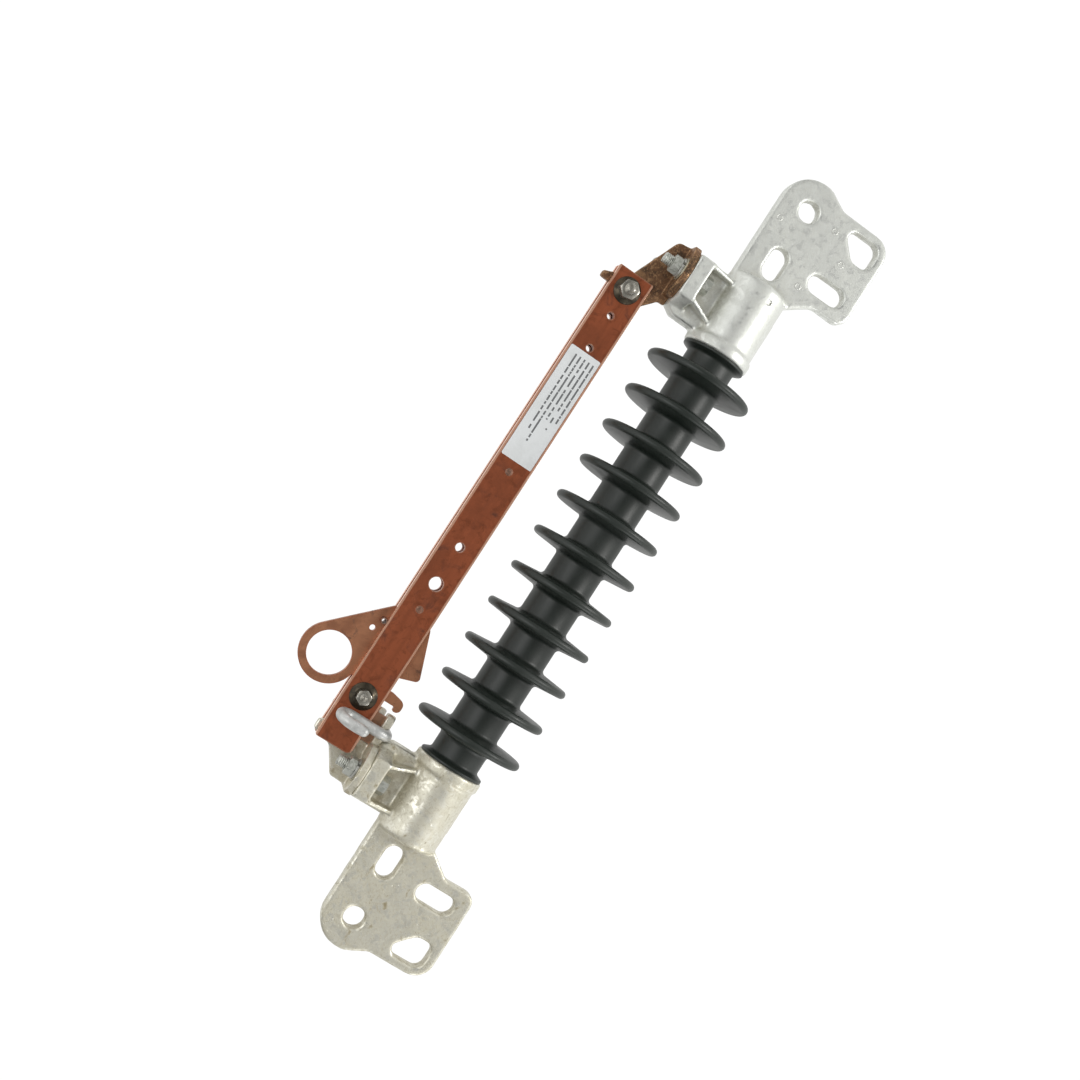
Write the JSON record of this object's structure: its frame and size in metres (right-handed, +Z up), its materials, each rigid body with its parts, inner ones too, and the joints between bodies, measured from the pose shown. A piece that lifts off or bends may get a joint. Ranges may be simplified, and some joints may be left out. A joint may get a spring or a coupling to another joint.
{
  "type": "in-line tension disconnect switch",
  "caption": "Overhead-line disconnect switch: ribbed insulator between flat-tongued end fittings, with a hinged double-bar copper blade and pull-ring latch below.",
  "frame": {"origin": "on the back face of the hinge-end tongue, on the insulator's axis, midway between the line-pin hole and the slot", "axes": "+X along the insulator from the hinge end to the jaw end, +Z up with the blade hanging below, +Y out of the tongues' back faces"},
  "size_m": [0.722, 0.094, 0.2305],
  "materials": {
    "housing_rubber": "satin grey-green silicone rubber, slightly dusty",
    "cast_aluminium": "as-cast, fine grain, softened edges",
    "cast_bronze": "rough sand-cast bronze, brown",
    "tinned_casting": "tinned casting, creamy grey, rough",
    "copper_bar": "drawn copper, brown oxide, bright along the edges",
    "latch_bronze": "flat bronze plate, tan with darker patina",
    "galvanised_steel": "hot-dip galvanised, mottled",
    "zinc_steel": "zinc-plated fasteners, dull",
    "stainless_steel": "stainless, satin",
    "dark_steel": "dark oxidised spring washers",
    "rivet_metal": "brown rivet heads",
    "label_film": "white film label, plain grey rules"
  },
  "bodies": {
    "switch_frame": {"insulator_housing": "housing_rubber", "hinge_end_fitting": "cast_aluminium", "jaw_end_fitting": "cast_aluminium", "hinge_casting": "cast_bronze", "jaw_casting": "tinned_casting", "jaw_contact": "copper_bar", "latch_keeper": "tinned_casting", "load_break_hook": "galvanised_steel", "hinge_mount_bolt_front": "zinc_steel", "hinge_mount_bolt_back": "zinc_steel", "hinge_flat_washer_front": "zinc_steel", "hinge_flat_washer_back": "zinc_steel", "hinge_lock_washer_front": "zinc_steel", "hinge_lock_washer_back": "zinc_steel", "hinge_mount_nut_front": "zinc_steel", "hinge_mount_nut_back": "zinc_steel", "jaw_mount_bolt_front": "zinc_steel", "jaw_mount_bolt_back": "zinc_steel", "jaw_flat_washer_front": "zinc_steel", "jaw_flat_washer_back": "zinc_steel", "jaw_lock_washer_front": "zinc_steel", "jaw_lock_washer_back": "zinc_steel", "jaw_mount_nut_front": "zinc_steel", "jaw_mount_nut_back": "zinc_steel"},
    "blade": {"blade_bar_front": "copper_bar", "blade_bar_back": "copper_bar", "blade_rivet_hinge_side": "rivet_metal", "blade_rivet_jaw_side": "rivet_metal", "rating_label": "label_film", "pivot_bolt": "stainless_steel", "pivot_spring_washer_front": "dark_steel", "pivot_spring_washer_back": "dark_steel", "pivot_nut": "stainless_steel", "latch_bolt": "stainless_steel", "latch_spring_washer_front": "dark_steel", "latch_spring_washer_back": "dark_steel", "latch_nut": "stainless_steel"},
    "latch": {"pull_ring_plate": "latch_bronze", "latch_stop_pin": "stainless_steel"}
  },
  "joints": [
    {"name": "blade_hinge", "type": "hinge", "parent": "switch_frame", "child": "blade", "pos_m": [0.1131, -0.006, -0.08997], "axis": [0, 1, 0], "range_deg": [0, 90]},
    {"name": "latch_release", "type": "hinge", "parent": "blade", "child": "latch", "pos_m": [0.4926, -0.006, -0.08997], "axis": [0, -1, 0], "range_deg": [0, 20], "stiffness_Nm_per_rad": 0.5, "springref_deg": -34.38}
  ]
}
